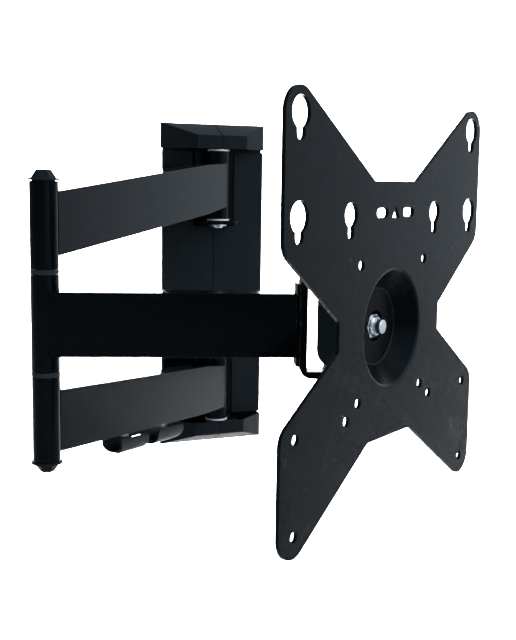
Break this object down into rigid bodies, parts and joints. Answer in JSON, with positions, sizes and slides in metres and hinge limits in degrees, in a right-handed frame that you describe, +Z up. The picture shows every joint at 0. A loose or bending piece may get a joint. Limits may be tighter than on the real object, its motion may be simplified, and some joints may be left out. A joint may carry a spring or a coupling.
{
  "type": "full motion tv wall mount",
  "caption": "Articulated wall bracket: slotted screen plate with pressed dish on a tilting, swivelling head, two hinged arms and a covered wall column.",
  "frame": {"origin": "centre of the wall plate's back face, against the wall", "axes": "+Y into the wall, +Z up, +X along the wall, to the right for somebody who faces the wall; the arms come out along -Y"},
  "size_m": [0.2847, 0.3318, 0.2551],
  "materials": {
    "steel_black": "satin black powder coat",
    "plastic_black": "fine matt black moulding",
    "cast_black": "satin black painted casting",
    "zinc": "bright zinc plate",
    "nylon": "natural nylon",
    "acetal_black": "smooth black acetal"
  },
  "bodies": {
    "wall_bracket": {"wall_plate": "steel_black", "centre_cover": "plastic_black", "top_cap": "plastic_black", "bottom_cap": "plastic_black", "upper_hinge_bracket": "steel_black", "lower_hinge_bracket": "steel_black", "upper_wall_pin": "zinc", "lower_wall_pin": "zinc", "upper_pin_ring": "zinc", "lower_pin_ring": "zinc"},
    "inner_arm": {"upper_wall_sleeve": "steel_black", "lower_wall_sleeve": "steel_black", "upper_wall_bush_outer": "nylon", "upper_wall_bush_inner": "nylon", "lower_wall_bush_outer": "nylon", "lower_wall_bush_inner": "nylon", "upper_arm_tube": "steel_black", "lower_arm_tube": "steel_black", "upper_elbow_sleeve": "steel_black", "lower_elbow_sleeve": "steel_black", "elbow_bolt": "zinc", "elbow_nut": "zinc", "elbow_cap_top": "plastic_black", "elbow_cap_bottom": "plastic_black", "cable_clip": "plastic_black", "clip_screw_1": "zinc", "clip_screw_2": "zinc"},
    "outer_arm": {"outer_arm_tube": "steel_black", "outer_arm_sleeve": "steel_black", "elbow_bush_upper": "acetal_black", "elbow_bush_lower": "acetal_black", "arm_end_plate": "steel_black", "head_bracket": "steel_black", "swivel_bolt": "zinc", "swivel_nut": "zinc"},
    "swivel_head": {"swivel_block": "cast_black", "swivel_spacer_top": "nylon", "swivel_spacer_bottom": "nylon", "tilt_bolt": "zinc", "tilt_washer": "zinc"},
    "tilt_head": {"tilt_knuckle": "cast_black", "plate_stud": "zinc", "friction_washer": "nylon", "plate_washer": "zinc", "plate_nut": "zinc"},
    "tv_plate": {"tv_plate": "steel_black"}
  },
  "joints": [
    {"name": "wall_swing", "type": "hinge", "parent": "wall_bracket", "child": "inner_arm", "pos_m": [0, -0.015, 0], "axis": [0, 0, 1], "range_deg": [-44, 55]},
    {"name": "elbow_swing", "type": "hinge", "parent": "inner_arm", "child": "outer_arm", "pos_m": [-0.17131, -0.18429, 0], "axis": [0, 0, -1], "range_deg": [-40, 116]},
    {"name": "head_swivel", "type": "hinge", "parent": "outer_arm", "child": "swivel_head", "pos_m": [-0.01232, -0.23978, 0], "axis": [0, 0, 1], "range_deg": [-41, 119]},
    {"name": "head_tilt", "type": "hinge", "parent": "swivel_head", "child": "tilt_head", "pos_m": [-0.00698, -0.24836, 0], "axis": [0.849, 0.5284, 0], "range_deg": [-10, 10]},
    {"name": "plate_level", "type": "hinge", "parent": "tilt_head", "child": "tv_plate", "pos_m": [0.00755, -0.27171, 0.0014], "axis": [0.5284, -0.849, 0], "range_deg": [-3, 3]}
  ]
}
